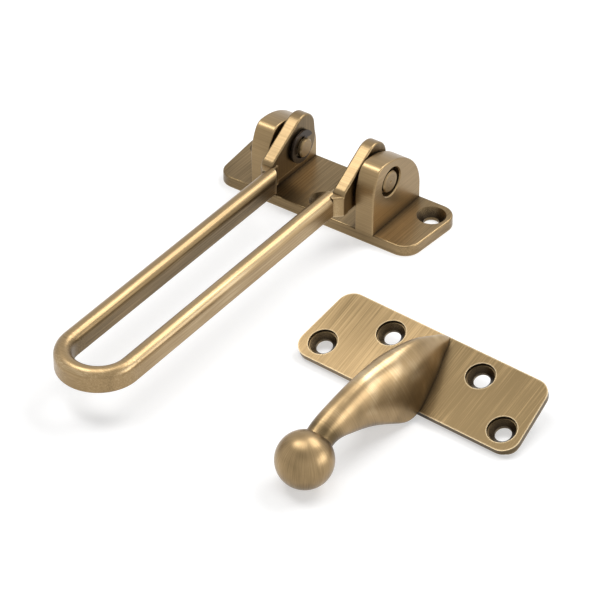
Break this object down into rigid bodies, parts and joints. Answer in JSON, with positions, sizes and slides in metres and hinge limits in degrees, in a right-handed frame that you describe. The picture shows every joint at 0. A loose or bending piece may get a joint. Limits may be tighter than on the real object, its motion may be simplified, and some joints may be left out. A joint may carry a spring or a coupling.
{
  "type": "swing bar door guard",
  "caption": "Swing bar door guard: a U-shaped loop hinged between the lugs of a screw-on plate, with a separate ball keeper that the loop drops over.",
  "frame": {"origin": "centre of the hinge plate's underside, on the face that screws to the door or frame", "axes": "+Z out of the mounting face; X along the hinge plate and the pivot line; the loop points to -Y at rest"},
  "size_m": [0.1471, 0.1412, 0.0274],
  "materials": {
    "hinge_brass": "antique brass, brushed along the lug faces, darker in the recesses",
    "arm_brass": "antique brass, finely brushed, rubbed brighter on the edges",
    "keeper_brass": "antique brass, brushed across the horn, darker round the holes",
    "pin_brass": "antique brass with fine turned rings on the head",
    "clip_steel": "dark brown-black spring steel",
    "washer_metal": "dark bronze-toned steel"
  },
  "bodies": {
    "hinge": {"hinge_plate": "hinge_brass", "left_pivot_pin": "pin_brass", "right_pivot_pin": "pin_brass", "left_retaining_clip": "clip_steel", "right_retaining_clip": "clip_steel", "left_spacer_washer": "washer_metal", "right_spacer_washer": "washer_metal", "ball_keeper": "keeper_brass"},
    "arm": {"swing_arm": "arm_brass"}
  },
  "joints": [
    {"name": "arm_swing", "type": "hinge", "parent": "hinge", "child": "arm", "pos_m": [0, -0.00315, 0.0176], "axis": [-1, 0, 0], "range_deg": [-4, 184]}
  ]
}
